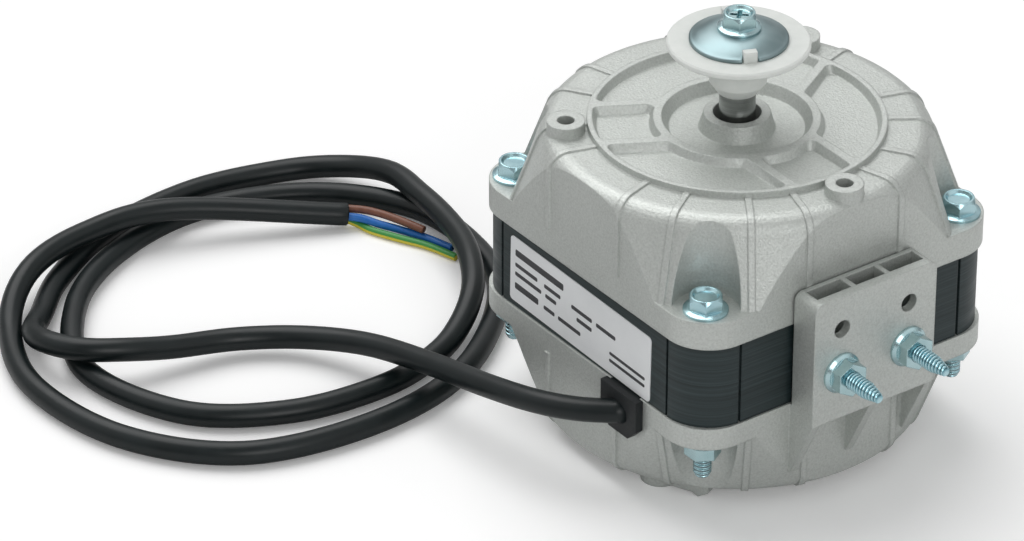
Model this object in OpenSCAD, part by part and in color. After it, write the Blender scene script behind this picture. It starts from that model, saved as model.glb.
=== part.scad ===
// Small shaded-pole fan motor with die-cast covers, a side bracket, a fan adapter on
// its upright shaft and a looped three-core cable. The shaft is on Z, the bracket
// faces +X, the label and the cable gland face -Y, and the rear bosses stand on z = 0.

/* [Covers] */
// Width of the square covers across their flats
cover_w = 83; // [80:0.5:90]
// Corner radius of the square cover flanges
flange_corner_r = 10.5; // [8:0.5:14]
// Thickness of the front cover's flange
front_flange_t = 6.6; // [5:0.1:9]
// Thickness of the rear cover's flange
rear_flange_t = 5.2; // [4:0.1:8]
// Height of the front dome above its flange
front_dome_h = 18.2; // [17:0.1:24]
// Height of the rear dome below its flange
rear_dome_h = 18.8; // [18:0.1:24]
// Radius of the domes at their flange
dome_base_r = 48.7; // [46:0.1:51]
// Radius of the shoulder ring on the domes
shoulder_r = 38.9; // [38:0.1:40]
// Radius of the rounded edge between shoulder and cone
dome_edge_r = 4.5; // [3:0.1:6]
// Radius of the raised end disc
disc_r = 32.6; // [31:0.1:33]
// Height of the raised end disc above the shoulder
disc_raise = 1.4; // [0.8:0.1:2]
// Inner radius of the covers beside the stator
cover_bore_r = 37.5; // [36:0.1:38]
// Inner radius of the covers near their ends
cover_end_bore_r = 33.5; // [33:0.1:34.5]
// Wall thickness over the covers' ends
end_wall = 4.2; // [3.6:0.1:5]

/* [Cast ribs and bosses] */
// Width of the fine ribs
rib_w = 1.5; // [0.8:0.1:2.5]
// Height of the fine ribs above the dome
rib_raise = 0.4; // [0.2:0.05:0.8]
// Angle of the ribs beside each flat
rib_flat_angle = 16.5; // [12:0.5:20]
// Angle of the ribs beside each corner pocket
rib_corner_angle = 33.5; // [31:0.5:35]
// Radius of the pocket round each corner bolt
corner_pocket_r = 7.4; // [7:0.1:9]
// Pitch circle radius of the front fixing bosses
boss_pitch_r = 37.3; // [36.5:0.1:38]
// Pitch circle radius of the rear fixing bosses
rear_pitch_r = 34.4; // [33.8:0.1:35]
// Radius of the front fixing bosses
front_boss_r = 4.2; // [3.6:0.1:5]
// Height of the front bosses above the disc
front_boss_h = 1.1; // [1:0.1:3]
// Radius of the rear fixing bosses
rear_boss_r = 4.4; // [3.6:0.1:5]
// Height of the rear bosses below the disc
rear_boss_h = 1.75; // [1:0.05:3]
// Radius of the thread-forming holes in the bosses
boss_hole_r = 1.9; // [1.6:0.05:2.4]
// Depth of the holes in the bosses
boss_hole_depth = 9; // [6:0.5:10]

/* [Front disc] */
// Half width of the pockets in line with the bosses
small_pocket_half_w = 7.2; // [5:0.1:8]
// Distance from the boss lines to the large pockets
large_pocket_offset = 9.3; // [8.8:0.1:12]
// Inner radius of the disc pockets
disc_pocket_r0 = 18.2; // [17.5:0.1:21]
// Outer radius of the disc pockets
disc_pocket_r1 = 31.4; // [28:0.1:31.6]
// Depth of the disc pockets
disc_pocket_depth = 1.9; // [1:0.1:2.2]
// Draft of the disc pockets' walls from top to floor
disc_pocket_draft = 0.9; // [0.3:0.1:1.5]
// Corner radius of the disc pockets
disc_pocket_corner_r = 1.4; // [0.5:0.1:2.5]
// Radius of the central recess at the disc
recess_r = 16.4; // [15.5:0.1:17]
// Radius of the central recess at its floor
recess_floor_r = 14.8; // [14:0.1:15.4]
// Depth of the central recess
recess_depth = 2.6; // [2:0.1:2.8]
// Radius of the nose at its top
nose_top_r = 7.3; // [6.6:0.1:8]
// Radius of the nose at its foot
nose_foot_r = 8.3; // [8:0.1:9]
// Height of the nose above the disc
nose_raise = 1.2; // [0:0.1:4]
// Radius of the hole in the nose
nose_hole_r = 5.3; // [4.6:0.1:5.8]

/* [Rear lug] */
// Length of the short cast bar beside a rear boss
lug_bar_l = 5; // [4:0.5:9]
// Length of the locating lug at the bar's end
lug_l = 5; // [3:0.5:8]
// Width of the bar and of the lug
lug_w = 2.6; // [1.5:0.1:4]

/* [Side bracket] */
// Distance from the shaft to the bracket's outer face
bracket_x = 49.3; // [48:0.1:54]
// Width of the bracket
bracket_w = 33; // [31:0.5:38]
// Height of the bracket's top above the front flange
bracket_rise = 1.6; // [0:0.1:4]
// Height of the bracket plate below the front flange
bracket_drop = 29; // [28:0.5:31]
// Thickness of the bracket's outer plate
bracket_plate_t = 2.2; // [1.5:0.1:3]
// Thickness of the bracket's end walls
bracket_wall = 2.1; // [1.2:0.1:2.4]
// Thickness of the two ribs inside the bracket
bracket_rib_t = 1.3; // [0.8:0.1:1.6]
// Half distance between the two inner ribs
bracket_rib_y = 4.6; // [4.2:0.1:4.8]
// Thickness of the bracket's inner strip
bracket_inner_t = 1.1; // [0.8:0.1:1.4]
// Clearance between the bracket and the ribs on the front cover's flat
bracket_gap = 0.15; // [0.1:0.05:0.5]
// Corner radius of the bracket plate
bracket_corner_r = 2; // [1:0.1:3]
// Half distance between the two holes, and between the two screws
bracket_hole_y = 9.1; // [8.9:0.1:9.3]
// Depth of the plain holes below the front flange
bracket_hole_drop = 6.5; // [5:0.1:9]
// Depth of the screws below the front flange
bracket_screw_drop = 17.3; // [16:0.1:20]
// Flange radius of the bracket screws' heads
bracket_head_flange_r = 3.6; // [3:0.1:3.7]
// Height of the bracket screws' heads
bracket_head_h = 2.6; // [2:0.1:3.4]
// Length of the pilot cone at the bracket screws' tips
bracket_pilot_l = 4; // [1:0.5:6]
// Radius of the plain holes in the bracket
bracket_hole_r = 2.1; // [1.8:0.05:2.6]
// Thickness of the three gussets below the bracket
gusset_t = 2; // [1.5:0.1:3]
// Height of the three gussets
gusset_h = 15; // [10:0.5:18]

/* [Stator] */
// Height of the lamination stack
stack_h = 20; // [15:0.5:30]
// Width of the lamination stack
stack_w = 82; // [79.5:0.1:82.4]
// Corner radius of the lamination stack
stack_corner_r = 11; // [8:0.5:13]
// Inner radius of the yoke
yoke_r = 33; // [32.6:0.1:34]
// Radius of the bore that the rotor turns in
stator_bore_r = 20.3; // [20.2:0.05:20.5]
// Width of each pole
pole_w = 13; // [11:0.5:14]
// Thickness of the pole shoes
shoe_t = 1.6; // [1.2:0.1:1.7]
// Angle from each pole's centre to its shoe's tip
shoe_angle = 33; // [28:0.5:34]
// Distance from each flat's centre to its notch line
notch_y = 29.9; // [27:0.1:31]
// Width and depth of the notch lines
notch_w = 0.7; // [0.4:0.1:1.2]
// Angle between the two legs of each shading ring
shading_span = 27; // [24:0.5:29]
// Angle that each leg of a shading ring takes
shading_leg_angle = 4; // [3:0.5:5]
// Thickness of the shading rings at the stack's ends
shading_t = 1.4; // [1:0.1:1.8]

/* [Windings] */
// Wall thickness of the bobbins
bobbin_wall = 1; // [0.8:0.1:1.4]
// Clearance between each bobbin and its pole
bobbin_gap = 0.1; // [0.05:0.05:0.3]
// Distance from the shaft to each bobbin's inner flange
bobbin_x0 = 22; // [21.95:0.05:22.4]
// Length of each bobbin along its pole
bobbin_l = 7.8; // [6:0.1:8.2]
// Height of each bobbin's flanges above its core
coil_build = 4.6; // [3.5:0.1:4.8]
// Depth of the winding's surface below the bobbin's flanges
coil_inset = 0.4; // [0.1:0.1:1]

/* [Rotor] */
// Radial gap between the rotor and the stator
air_gap = 0.3; // [0.25:0.05:0.5]
// Shaft radius
shaft_r = 4; // [3.5:0.1:4.2]
// Thickness of the cage's end rings
end_ring_t = 3; // [2:0.1:4]
// Inner radius of the cage's end rings
end_ring_r0 = 12; // [10:0.5:14]
// Number of cage bars
bar_n = 17; // [12:1:20]
// Radius of the cage bars
bar_r = 1.5; // [1:0.1:1.8]
// Outer radius of the spacers between rotor and bearings
spacer_r = 5.6; // [5:0.1:5.7]

/* [Bearings] */
// Outer radius of the bearings
bearing_r = 11; // [10.8:0.1:11.5]
// Width of the bearings
bearing_w = 7; // [6:0.1:8]
// Pitch radius of the balls
ball_pitch_r = 7.5; // [7.4:0.1:7.8]
// Radius of the balls
ball_r = 1.98; // [1.8:0.02:2.1]
// Clearance between the balls and their races
race_gap = 0.08; // [0.05:0.01:0.12]
// Number of balls
ball_n = 7; // [6:1:7]
// Wall of the cups that hold the bearings
cup_wall = 3.2; // [2.5:0.1:4]
// Free height for the wave spring behind the rear bearing
spring_h = 1.45; // [1.2:0.05:2]
// Thickness of the wave spring
spring_t = 0.3; // [0.2:0.05:0.4]
// Number of waves of the spring
spring_waves = 3; // [3:1:4]

/* [Fan adapter] */
// Height of the adapter disc's underside above the front flange
adapter_rise = 37; // [34:0.5:45]
// Radius of the adapter's disc
adapter_r = 15.6; // [14:0.1:18]
// Thickness of the adapter's disc
adapter_t = 1.6; // [1.2:0.1:2.5]
// Radius of the adapter's hub
adapter_hub_r = 6.3; // [5.5:0.1:7]
// Length of the adapter's straight hub
adapter_hub_l = 8.2; // [6:0.1:10]
// Length of the cone below the hub
adapter_cone_l = 2.6; // [1:0.1:4]
// Radius of the cone's lower end
adapter_cone_r = 4.5; // [4.4:0.1:5]
// Height of the two keys on the adapter
key_h = 2.5; // [1.5:0.1:3]
// Width of the two keys
key_w = 3; // [2:0.1:4]
// Radial thickness of the two keys
key_t = 1.7; // [1:0.1:2]
// Angle of the keys about the shaft
key_angle = -24; // [-90:1:90]
// Radius of the domed washer
washer_r = 10.8; // [9:0.1:12]
// Height that the washer's centre stands above the disc
washer_dome_h = 2.8; // [1.5:0.1:3.5]
// Thickness of the domed washer
washer_t = 0.8; // [0.5:0.1:1]

/* [Fasteners] */
// Shank radius of every screw
screw_r = 2; // [1.7:0.1:2.1]
// Distance from the shaft's axis to the corner bolts along X and along Y
bolt_xy = 34.5; // [33.8:0.1:35]
// Flange radius of the corner bolts
bolt_flange_r = 4.9; // [4.6:0.1:5.2]
// Flange radius of the fan screw
fan_screw_flange_r = 4.8; // [4.2:0.1:5]
// Width across flats of the hexagons
hex_af = 7; // [6.5:0.1:7.4]
// Height of the hexagons on the screws
hex_h = 3; // [2.4:0.1:4]
// Thickness of the flanges under heads and nuts
head_flange_t = 1; // [0.6:0.1:1.4]
// Height of the nuts, flange included
nut_h = 4.2; // [3.5:0.1:5]
// Length of thread standing out of each corner nut
bolt_tip_l = 5.5; // [2:0.5:6]
// Length of thread standing out of the bracket's nuts
bracket_tip_l = 8.8; // [5:0.1:12]
// Clearance of screws in their holes
screw_gap = 0.3; // [0.1:0.05:0.5]

/* [Cable and label] */
// Outer diameter of the cable
cable_d = 5.4; // [5:0.1:6]
// Diameter of each insulated core
core_d = 1.9; // [1.5:0.1:2]
// Width of the gland's collar
gland_w = 12.8; // [11:0.1:15]
// Height of the gland's collar
gland_h = 10.4; // [9:0.1:10.9]
// Distance that the collar stands out of the cover's flat
gland_out = 1.8; // [1.5:0.1:4]
// Distance of the gland's middle from the shaft along X
gland_x = 15.9; // [12:0.1:17]
// Distance that the gland reaches into the cover
gland_in = 7; // [5:0.1:9]
// Lip of the collar round the hole in the cover
gland_lip = 1.2; // [0.6:0.1:1.8]
// Chamfer of the gland's lower corners
gland_chamfer = 3; // [1:0.1:4]
// Width of the label
label_w = 51; // [40:0.5:54]
// Height of the label
label_h = 16.4; // [10:0.1:17]
// Distance of the label's middle below the stack's middle
label_drop = 0.9; // [0:0.1:2]
// Thickness of the label
label_t = 0.2; // [0.1:0.05:0.4]
// Tilt of the label, as it was stuck on
label_tilt = 1.3; // [0:0.1:2]
// Distance of the label's middle from the shaft along X
label_x = -1.2; // [-3:0.1:3]

/* [Hidden] */
$fn = 64;
eps = 0.01;

// Heights, from the rear bosses upward
z_rear_disc = rear_boss_h;
z_rear_shoulder = z_rear_disc + disc_raise;
z_rear_flange = z_rear_shoulder + rear_dome_h;
z_stack = z_rear_flange + rear_flange_t;
z_stack_top = z_stack + stack_h;
z_front_flange = z_stack_top + front_flange_t;
z_shoulder = z_front_flange + front_dome_h;
z_disc = z_shoulder + disc_raise;
z_front_boss = z_disc + front_boss_h;
z_adapter = z_front_flange + adapter_rise;
z_adapter_top = z_adapter + adapter_t;
z_fan_screw = z_adapter_top + washer_dome_h;

half_w = cover_w / 2;
rotor_r = stator_bore_r - air_gap;
hex_r = hex_af / 2 / cos(30);
cage_inset = 0.5;
bar_inset = 0.7;

// Bearing seats: a ceiling in the front cover and a floor in the rear cover
seat_wall = 2.2;
seat_relief = 0.5;
seat_relief_r = bearing_r - 1.9;
spring_relief_r = bearing_r - 2.5;
cup_length = bearing_w + 0.6;
z_front_seat = z_disc - recess_depth - seat_wall;
z_rear_seat = z_rear_disc + seat_wall + seat_relief;
z_front_bearing = z_front_seat - bearing_w;
z_rear_bearing = z_rear_seat + spring_h;
// Angles of the three front and the three rear bosses
front_boss_angles = [0, 120, 240];
rear_boss_angles = [56, 176, 296];

// Centre height of the bracket's holes and screws
z_bracket_hole = z_front_flange - bracket_hole_drop;
z_bracket_screw = z_front_flange - bracket_screw_drop;
z_bracket0 = z_front_flange - bracket_drop;
z_bracket1 = z_front_flange + bracket_rise;
bracket_inner_x = half_w + rib_raise + bracket_gap;
cavity_x = bracket_inner_x + bracket_inner_t;

// Gland seat
gland_gap = 0.1;
z_gland_top = z_stack - gland_gap;
z_gland = z_gland_top - gland_h;
cable_drop = 5.1;
z_cable = z_gland_top - cable_drop;
gland_face_y = half_w + gland_out;

// Earth terminal on its boss inside the rear cover
earth_x = 17;
earth_y = -19;
earth_boss_r = 4;
earth_boss_h = 4;
z_rear_floor = z_rear_disc + end_wall;
z_earth = z_rear_floor + earth_boss_h;
terminal_t = 0.6;
terminal_r = 3.4;
earth_screw_r = 1.5;

// The free cable's route, and its three cores beyond the sheath's cut end
cable_route = [
    [17, -41.5, 21.8], [9, -48.6, 20.9], [-1, -53, 19.4], [-16, -55, 16.3],
    [-36, -56, 12], [-56, -59, 8], [-71, -66.5, 5], [-80, -78.5, 4.4],
    [-83.8, -93.5, 5.8], [-86.3, -104.3, 7.8], [-90.8, -112.4, 8.5], [-98.5, -116.7, 8],
    [-107, -115.6, 6], [-116.5, -107.7, 3.2], [-127.8, -96, 2.8], [-139, -76, 2.8],
    [-143, -50, 2.8], [-138.5, -27.5, 2.8], [-129.3, -15.8, 4.5], [-115.5, -11.7, 8],
    [-102, -12.6, 8.8], [-91, -13.8, 8.8], [-80, -16.4, 8.8], [-70.5, -20.6, 8.5],
    [-62.5, -26, 7], [-56.5, -33.5, 4.2], [-51, -44, 2.8], [-46.8, -61, 2.8],
    [-50, -84, 2.8], [-64, -104, 2.8], [-91, -112, 2.8], [-115, -99.5, 2.8],
    [-129.5, -79.5, 2.8], [-135, -54, 2.8], [-126.3, -28.5, 2.8], [-108.2, -12.3, 2.8],
    [-86.6, -9.8, 2.8], [-64, -17.5, 2.8], [-42.5, -42, 2.8], [-35.5, -70, 2.8],
    [-41.5, -101, 2.8], [-63, -120, 2.8], [-92, -125, 2.8], [-115, -117, 3.4],
    [-127, -104.5, 8], [-133, -86, 8.6], [-130.5, -63, 8.5], [-112, -26.5, 3.4]];
cable_rings = 67;
core_rings = 6;
core_sides = 8;
cable_sides = 10;
core_brown_route = [[-113.4, -26.7, 4.4], [-110.2, -23.2, 4.3], [-106.4, -20.6, 4.1],
    [-101.4, -18.2, 3.7], [-96, -15.9, 3.2]];
core_blue_route = [[-111.4, -27.5, 3.5], [-109, -24.5, 3], [-105.6, -21.9, 2.2],
    [-101.8, -19, 1.6], [-95.4, -15.6, 1.2], [-88.4, -13.3, 1]];
core_earth_route = [[-113, -27.3, 2.3], [-110, -24.9, 1.2], [-105.8, -23.8, 1],
    [-99.1, -20.6, 1], [-92.5, -17.2, 1], [-84.6, -14.8, 1]];

// Routes of the leads from the gland to the windings and to the earth terminal
lead_start_y = gland_in - half_w - 0.05;
z_coil_low = z_stack - bobbin_gap - bobbin_wall - coil_build + coil_inset;
z_lead_end = z_coil_low - core_d / 2 - 0.02;
lead_brown_route = [[gland_x - 2.2, lead_start_y, z_cable], [13.2, -32.2, z_cable - 0.6],
    [11, -28.5, z_lead_end - 0.5], [8, -25.5, z_lead_end]];
lead_blue_route = [[gland_x + 2.2, lead_start_y, z_cable], [18.6, -31.5, z_cable - 0.3],
    [22.5, -24, z_lead_end - 0.6], [25.4, -15, z_lead_end - 0.5], [26, -8, z_lead_end]];
lead_earth_route = [[gland_x, lead_start_y, z_cable - 2.3], [16, -32, z_cable - 3.2],
    [16.8, -28, z_cable - 7.3], [earth_x, earth_y - 6.2, z_earth + 2],
    [earth_x, earth_y - 4.4, z_earth + terminal_t + core_d / 2 + 0.02]];
lead_rings = 9;

// General shapes

// Point on a smooth curve through the route's points, t counted in points
function route_point(p, t) =
    let (n = len(p), i = min(floor(t), n - 2), u = t - i,
        a = i > 0 ? p[i - 1] : 2 * p[0] - p[1], b = p[i], c = p[i + 1],
        d = i + 2 < n ? p[i + 2] : 2 * p[n - 1] - p[n - 2])
    0.5 * (2 * b + (c - a) * u + (2 * a - 5 * b + 4 * c - d) * u * u
        + (3 * b - a - 3 * c + d) * u * u * u);

function unit(v) = v / norm(v);

// Round tube swept along a route, with level rings
module tube(route, d, rings, sides) {
    last = len(route) - 1;
    step = last / (rings - 1);
    small = 0.02;
    points = [for (i = [0 : rings - 1])
        let (t = i * step, p = route_point(route, t),
            f = unit(route_point(route, min(t + small, last))
                - route_point(route, max(t - small, 0))),
            s = unit(cross(f, [0, 0, 1])), w = cross(s, f))
        for (k = [0 : sides - 1])
            p + d / 2 * (cos(360 * k / sides) * s + sin(360 * k / sides) * w)];
    faces = concat(
        [[for (k = [0 : sides - 1]) sides - 1 - k]],
        [for (i = [0 : rings - 2], k = [0 : sides - 1])
            let (a = i * sides + k, b = i * sides + (k + 1) % sides)
            [a, b, b + sides, a + sides]],
        [[for (k = [0 : sides - 1]) (rings - 1) * sides + k]]);
    polyhedron(points, faces);
}

module rounded_square(w, r) {
    square([w - 2 * r, w], center = true);
    square([w, w - 2 * r], center = true);
    for (x = [-1, 1], y = [-1, 1])
        translate([x * (w / 2 - r), y * (w / 2 - r)]) circle(r);
}

module at_corners() {
    for (x = [-1, 1], y = [-1, 1])
        translate([x * bolt_xy, y * bolt_xy, 0]) children();
}

module flat_ring(r0, r1, z0, z1) {
    translate([0, 0, z0]) difference() {
        cylinder(r = r1, h = z1 - z0);
        translate([0, 0, -1]) cylinder(r = r0, h = z1 - z0 + 2);
    }
}

// Part of a ring between two angles less than 180 degrees apart
module ring_sector(r0, r1, a0, a1, z0, z1) {
    far = 2 * r1;
    intersection() {
        flat_ring(r0, r1, z0, z1);
        translate([0, 0, z0]) linear_extrude(z1 - z0)
            polygon([[0, 0], far * [cos(a0), sin(a0)],
                far * [cos((a0 + a1) / 2), sin((a0 + a1) / 2)], far * [cos(a1), sin(a1)]]);
    }
}

// Domed covers

// Outline of a dome, from its foot to its shoulder, grown by some amount
function dome_outline(h, grow) =
    let (foot = dome_base_r + grow, c = [shoulder_r, h - dome_edge_r], r = dome_edge_r + grow,
        lean = atan((dome_base_r - shoulder_r - dome_edge_r) / (h - dome_edge_r)))
    concat([[0, 0], [foot, 0]],
        [for (i = [0 : 6]) let (a = lean + (90 - lean) * i / 6) c + r * [cos(a), sin(a)]],
        [[0, h + grow]]);

module rib_bars(h) {
    bar_x = disc_r - 1;
    for (q = [0 : 3], a = [rib_flat_angle, rib_corner_angle, 90 - rib_corner_angle,
            90 - rib_flat_angle])
        rotate([0, 0, 90 * q + a])
            translate([bar_x, -rib_w / 2, 0])
                cube([dome_base_r - bar_x + 2, rib_w, h + 1]);
}

// Solid dome with flats, corner pockets, ribs and the end disc, base at z = 0
module dome_solid(h) {
    difference() {
        union() {
            intersection() {
                rotate_extrude() polygon(dome_outline(h, 0));
                translate([-half_w, -half_w, -1]) cube([cover_w, cover_w, h + 3]);
            }
            intersection() {
                rotate_extrude() polygon(dome_outline(h, rib_raise));
                translate([-half_w - rib_raise, -half_w - rib_raise, 0])
                    cube([cover_w + 2 * rib_raise, cover_w + 2 * rib_raise, h + 2]);
                rib_bars(h);
            }
            cylinder(r = disc_r, h = h + disc_raise);
        }
        at_corners() cylinder(r = corner_pocket_r, h = h + 3);
    }
}

// Hollow inside a cover, from the stack's face up to the end wall
module cover_hollow(h, flange_t) {
    top = h + disc_raise - end_wall;
    straight_share = 0.16;
    taper_share = 0.5;
    rotate_extrude() polygon([[0, -flange_t - 1], [cover_bore_r, -flange_t - 1],
        [cover_bore_r, h * straight_share], [cover_end_bore_r, h * taper_share],
        [cover_end_bore_r, top], [0, top]]);
}

module flange(t) {
    linear_extrude(t) rounded_square(cover_w, flange_corner_r);
}

module disc_pocket(inner, outer, wide) {
    middle = (inner + outer) / 2;
    half_l = (outer - inner) / 2;
    taper_l = (half_l - disc_pocket_draft) / half_l;
    taper_w = (wide - disc_pocket_draft) / wide;
    translate([middle, 0, z_disc + eps])
        mirror([0, 0, 1])
            linear_extrude(disc_pocket_depth, scale = [taper_l, taper_w], slices = 1)
                offset(r = disc_pocket_corner_r, $fn = 24)
                    offset(delta = -disc_pocket_corner_r)
                        translate([-middle, 0]) intersection() {
                            difference() {
                                circle(outer, $fn = 120);
                                circle(inner, $fn = 90);
                            }
                            children();
                        }
}

module small_disc_pocket() {
    disc_pocket(disc_pocket_r0, disc_pocket_r1, small_pocket_half_w)
        translate([0, -small_pocket_half_w])
            square([disc_r, 2 * small_pocket_half_w]);
}

module large_disc_pocket() {
    far = 2 * disc_r;
    reach = large_pocket_offset / sin(60);
    half_w_share = 0.72;
    disc_pocket(disc_pocket_r0, disc_pocket_r1, half_w_share * disc_pocket_r1)
        polygon([[reach, 0], [reach + far * cos(60), far * sin(60)],
            [reach + far * cos(60), -far * sin(60)]]);
}

module front_cover() {
    cup_r = bearing_r + cup_wall;
    color("silver") difference() {
        union() {
            translate([0, 0, z_stack_top]) flange(front_flange_t);
            translate([0, 0, z_front_flange]) difference() {
                dome_solid(front_dome_h);
                cover_hollow(front_dome_h, front_flange_t);
            }
            for (a = front_boss_angles)
                rotate([0, 0, a]) translate([boss_pitch_r, 0, z_shoulder - boss_hole_depth])
                    cylinder(r = front_boss_r, h = z_front_boss - z_shoulder + boss_hole_depth);
            translate([0, 0, z_front_seat - cup_length])
                cylinder(r = cup_r, h = z_disc - z_front_seat + cup_length - eps);
            translate([0, 0, z_disc - recess_depth - eps])
                cylinder(r1 = nose_foot_r, r2 = nose_top_r, h = recess_depth + nose_raise);
        }
        translate([0, 0, z_stack_top - 1]) cylinder(r = cover_bore_r, h = front_flange_t + 2);
        at_corners() translate([0, 0, z_stack_top - 1])
            cylinder(r = screw_r + screw_gap, h = front_flange_t + 2);
        for (a = front_boss_angles)
            rotate([0, 0, a]) translate([boss_pitch_r, 0, z_front_boss - boss_hole_depth])
                cylinder(r = boss_hole_r, h = boss_hole_depth + 1);
        for (a = front_boss_angles) rotate([0, 0, a]) {
            small_disc_pocket();
            rotate([0, 0, 60]) large_disc_pocket();
        }
        // Ring-shaped recess round the nose
        difference() {
            translate([0, 0, z_disc - recess_depth])
                cylinder(r1 = recess_floor_r, r2 = recess_r, h = recess_depth + eps);
            translate([0, 0, z_disc - recess_depth - 1])
                cylinder(r1 = nose_foot_r + 1 / recess_depth, r2 = nose_top_r,
                    h = recess_depth + nose_raise + 1);
        }
        // Bearing seat, its relief and the hole in the nose
        translate([0, 0, z_front_seat - cup_length - 1]) cylinder(r = bearing_r, h = cup_length + 1);
        translate([0, 0, z_front_seat - 1]) cylinder(r = seat_relief_r, h = seat_relief + 1);
        translate([0, 0, z_front_seat - 1]) cylinder(r = nose_hole_r, h = z_disc);
    }
}

module bracket_outline(z0, z1, w) {
    r = bracket_corner_r;
    translate([-w / 2, z0]) square([w, z1 - z0 - r]);
    translate([-w / 2 + r, z0]) square([w - 2 * r, z1 - z0]);
    for (y = [-1, 1]) translate([y * (w / 2 - r), z1 - r]) circle(r);
}

// Turns an outline drawn in Y and Z into a plate that is extruded along X
module along_x(x, t) {
    translate([x, 0, 0]) rotate([90, 0, 90]) linear_extrude(t) children();
}

module side_bracket() {
    floor_t = z_stack - z_bracket0;
    cavity_l = bracket_x - bracket_plate_t - cavity_x;
    foot_reach = 2;
    gusset_toe = 0.6;
    cavity_y = [-bracket_w / 2 + bracket_wall, -bracket_rib_y - bracket_rib_t / 2,
        -bracket_rib_y + bracket_rib_t / 2, bracket_rib_y - bracket_rib_t / 2,
        bracket_rib_y + bracket_rib_t / 2, bracket_w / 2 - bracket_wall];
    difference() {
        union() {
            along_x(bracket_inner_x, bracket_x - bracket_inner_x)
                bracket_outline(z_bracket0, z_bracket1, bracket_w);
            // Foot that joins the bracket to the flange
            translate([half_w - foot_reach, -bracket_w / 2, z_bracket0])
                cube([2 * foot_reach, bracket_w, floor_t]);
            // Gussets down to the dome
            for (y = [-bracket_w / 2, -gusset_t / 2, bracket_w / 2 - gusset_t])
                translate([0, y + gusset_t, z_bracket0]) rotate([90, 0, 0])
                    linear_extrude(gusset_t)
                        polygon([[shoulder_r, eps], [bracket_x, eps],
                            [half_w + gusset_toe, -gusset_h], [shoulder_r, -gusset_h]]);
        }
        for (i = [0, 2, 4])
            translate([cavity_x, cavity_y[i], z_stack])
                cube([cavity_l, cavity_y[i + 1] - cavity_y[i], z_bracket1]);
        for (y = [-1, 1]) {
            translate([cavity_x, y * bracket_hole_y, z_bracket_hole]) rotate([0, 90, 0])
                cylinder(r = bracket_hole_r, h = bracket_x);
            translate([cavity_x, y * bracket_hole_y, z_bracket_screw]) rotate([0, 90, 0])
                cylinder(r = screw_r + screw_gap / 2, h = bracket_x);
        }
    }
}

// Outline of the gland's hole or collar, drawn in X and Z
module gland_outline(w, top, bottom, chamfer) {
    polygon([[gland_x - w / 2, top], [gland_x - w / 2, bottom + chamfer],
        [gland_x - w / 2 + chamfer, bottom], [gland_x + w / 2 - chamfer, bottom],
        [gland_x + w / 2, bottom + chamfer], [gland_x + w / 2, top]]);
}

// Cast bar and locating lug beside the rear boss under the label's corner
module rear_lug() {
    outward = 2.2;
    bar_z = 0.9;
    lug_z = 0.1;
    lug_top = z_rear_shoulder + 2;
    toe = 1.5;
    rotate([0, 0, rear_boss_angles[2]]) translate([rear_pitch_r + outward, 0, 0]) {
        translate([-lug_w / 2, 0, bar_z]) cube([lug_w, rear_boss_r + lug_bar_l, z_rear_shoulder]);
        translate([lug_w / 2, rear_boss_r + lug_bar_l - 1, lug_z])
            rotate([0, -90, 0]) linear_extrude(lug_w)
                polygon([[lug_top, 0], [lug_top, lug_l], [toe, lug_l],
                    [0, lug_l / 2], [toe, 0]]);
    }
}

module rear_cover() {
    cup_r = bearing_r + cup_wall;
    gland_cut = 20;
    color("darkgray") difference() {
        union() {
            translate([0, 0, z_rear_flange]) flange(rear_flange_t);
            translate([0, 0, z_rear_flange]) mirror([0, 0, 1]) difference() {
                dome_solid(rear_dome_h);
                cover_hollow(rear_dome_h, rear_flange_t);
            }
            for (a = rear_boss_angles)
                rotate([0, 0, a]) translate([rear_pitch_r, 0, 0])
                    cylinder(r = rear_boss_r, h = z_rear_shoulder + boss_hole_depth);
            translate([0, 0, z_rear_disc + eps])
                cylinder(r = cup_r, h = z_rear_bearing - z_rear_disc + cup_length - eps);
            translate([earth_x, earth_y, z_rear_floor - 1])
                cylinder(r = earth_boss_r, h = earth_boss_h + 1);
            side_bracket();
            rear_lug();
        }
        translate([0, 0, z_rear_flange - 1]) cylinder(r = cover_bore_r, h = rear_flange_t + 2);
        at_corners() translate([0, 0, z_rear_flange - 1])
            cylinder(r = screw_r + screw_gap, h = rear_flange_t + 2);
        for (a = rear_boss_angles)
            rotate([0, 0, a]) translate([rear_pitch_r, 0, -1])
                cylinder(r = boss_hole_r, h = boss_hole_depth + 1);
        // Spring and bearing seat, closed at the end
        translate([0, 0, z_rear_seat]) cylinder(r = bearing_r, h = z_stack);
        translate([0, 0, z_rear_seat - seat_relief]) cylinder(r = spring_relief_r, h = 2 * seat_relief);
        translate([earth_x, earth_y, z_rear_floor]) cylinder(r = earth_screw_r, h = z_stack);
        // Hole that the gland sits in, open towards the stack
        translate([0, gland_cut / 2 - cover_bore_r, 0]) rotate([90, 0, 0]) linear_extrude(gland_cut)
            gland_outline(gland_w - 2 * gland_lip, z_stack + 1, z_gland + gland_lip,
                gland_chamfer - gland_lip);
    }
}

// Stator and windings

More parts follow.
